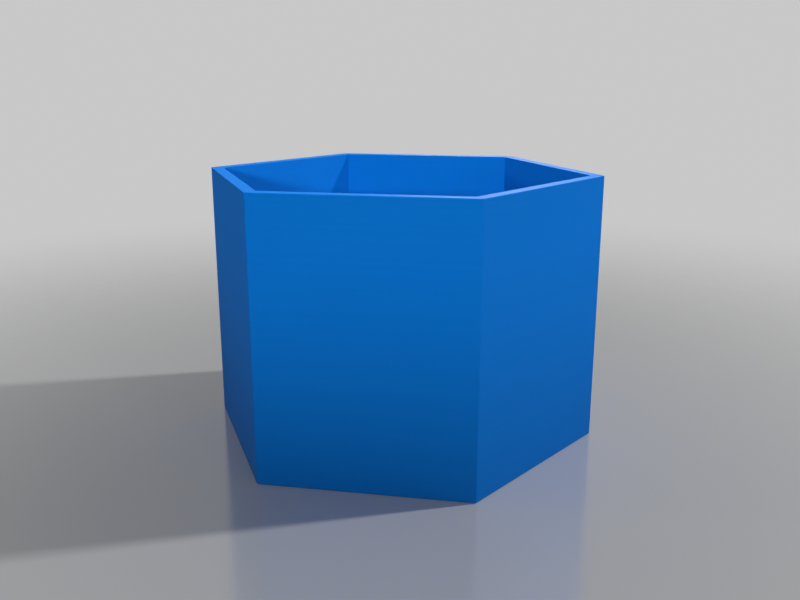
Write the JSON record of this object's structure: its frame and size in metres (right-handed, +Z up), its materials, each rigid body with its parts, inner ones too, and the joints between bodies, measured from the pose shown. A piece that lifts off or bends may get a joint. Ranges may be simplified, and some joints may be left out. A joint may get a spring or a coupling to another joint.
{
  "type": "rock tumbler barrel",
  "caption": "Open hexagonal rock tumbler barrel with thin flat walls and a plain rim, holding its loose push-in lid: plates, a rubber ring that a knurled nut squeezes outwards, and its stud.",
  "frame": {"origin": "centre of the barrel's underside, which stands on the surface", "axes": "+Z up along the barrel's axis, out of the open end; +X square to one flat wall; two corners of the hexagon lie on the Y axis"},
  "size_m": [0.052, 0.06, 0.04],
  "materials": {
    "printed_plastic": "smooth blue printed plastic, satin to semi-gloss",
    "seal_rubber": "matt black nitrile rubber",
    "stainless_steel": "turned and tumbled stainless steel"
  },
  "bodies": {
    "barrel": {"barrel_body": "printed_plastic"},
    "lid": {"inner_lid": "printed_plastic", "seal_ring": "seal_rubber", "lid_stud": "stainless_steel", "stud_o_ring": "seal_rubber"},
    "clamp": {"outer_lid": "printed_plastic", "flat_washer": "stainless_steel"},
    "nut": {"knurled_nut": "stainless_steel"}
  },
  "joints": [
    {"name": "lid_lift", "type": "slide", "parent": "barrel", "child": "lid", "axis": [0, 0, 1], "range_m": [0, 0.045]},
    {"name": "clamp_travel", "type": "slide", "parent": "lid", "child": "clamp", "axis": [0, 0, -1], "range_m": [0, 0.0012], "deforming": ["seal_ring"]},
    {"name": "nut_turn", "type": "hinge", "parent": "clamp", "child": "nut", "pos_m": [0, 0, 0.0155], "axis": [0, 0, -1], "range_deg": [0, 540]}
  ],
  "couplings": [
    {"joint": "clamp_travel", "follows": "nut_turn", "m_per_rad": 0.00012732}
  ]
}
